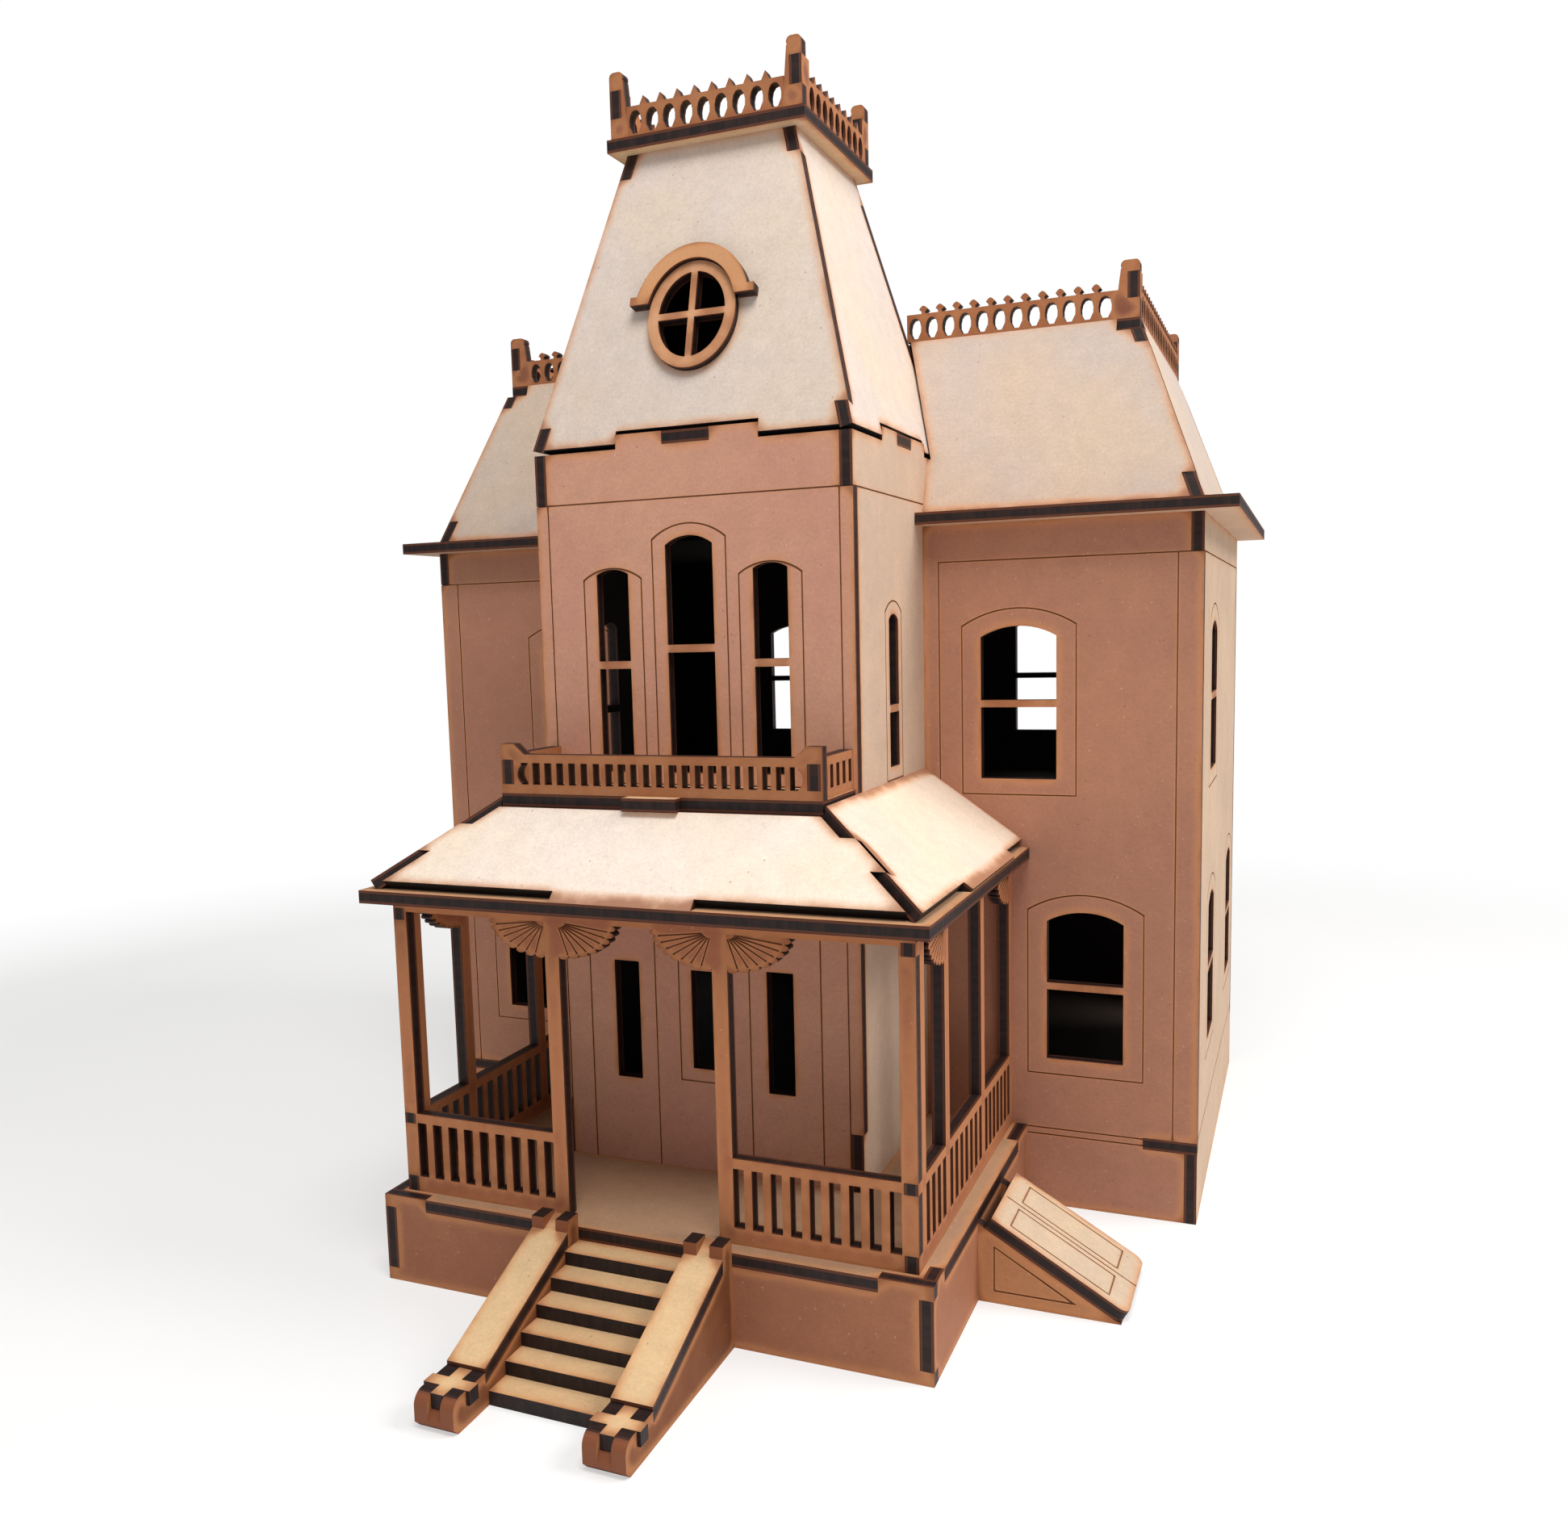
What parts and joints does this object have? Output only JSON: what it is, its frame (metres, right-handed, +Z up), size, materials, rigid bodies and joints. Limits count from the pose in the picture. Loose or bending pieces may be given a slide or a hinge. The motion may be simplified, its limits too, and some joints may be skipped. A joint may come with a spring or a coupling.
{
  "type": "doll's house",
  "caption": "Victorian wooden doll's house of finger-jointed sheet wood, with a tower, a columned porch, front steps and a cellar hatch.",
  "frame": {"origin": "middle of the footprint, on the surface that the house stands on, in the plane of the main front wall", "axes": "+X to the house's right as seen from the front, +Y from the front to the back, +Z up"},
  "size_m": [0.233, 0.284, 0.2833],
  "materials": {
    "wall_sheet": "bare 3 mm fibreboard, matt, with charred cut edges",
    "pale_sheet": "bare 3 mm fibreboard, matt and paler, with charred cut edges",
    "trim_sheet": "narrow fibreboard trim, browned all over by the laser"
  },
  "bodies": {
    "root": {"main_front_left": "wall_sheet", "main_front_right": "wall_sheet", "main_side_left": "wall_sheet", "main_side_right": "wall_sheet", "main_back": "wall_sheet", "ground_floor": "wall_sheet", "upper_floor": "wall_sheet", "eaves_sheet": "wall_sheet", "roof_front_left": "pale_sheet", "roof_front_right": "pale_sheet", "roof_back": "pale_sheet", "roof_left": "pale_sheet", "roof_right": "pale_sheet", "roof_top": "pale_sheet", "cresting_front_left": "trim_sheet", "cresting_front_right": "trim_sheet", "cresting_left": "trim_sheet", "cresting_right": "trim_sheet", "cresting_back": "trim_sheet", "tower_front": "wall_sheet", "tower_left": "wall_sheet", "tower_right": "wall_sheet", "tower_back": "wall_sheet", "tower_ceiling": "wall_sheet", "tower_roof_front": "pale_sheet", "tower_roof_back": "pale_sheet", "tower_roof_left": "pale_sheet", "tower_roof_right": "pale_sheet", "oval_frame": "trim_sheet", "oval_hood": "trim_sheet", "tower_cap": "pale_sheet", "tower_rail_front": "trim_sheet", "tower_rail_back": "trim_sheet", "tower_rail_left": "trim_sheet", "tower_rail_right": "trim_sheet", "plinth_front": "wall_sheet", "plinth_left": "wall_sheet", "plinth_right": "wall_sheet", "porch_deck": "wall_sheet", "porch_frame_front": "trim_sheet", "porch_frame_left": "trim_sheet", "porch_frame_right": "trim_sheet", "porch_eaves": "wall_sheet", "porch_roof_front": "pale_sheet", "porch_roof_left": "pale_sheet", "porch_roof_right": "pale_sheet", "balcony_floor": "pale_sheet", "balcony_rail_front": "trim_sheet", "balcony_rail_left": "trim_sheet", "balcony_rail_right": "trim_sheet", "stair_treads": "pale_sheet", "stair_side_left": "trim_sheet", "stair_side_right": "trim_sheet", "stair_rails": "pale_sheet", "newel_keys": "pale_sheet", "hatch_cheeks": "wall_sheet", "hatch_door": "pale_sheet"}
  },
  "joints": []
}
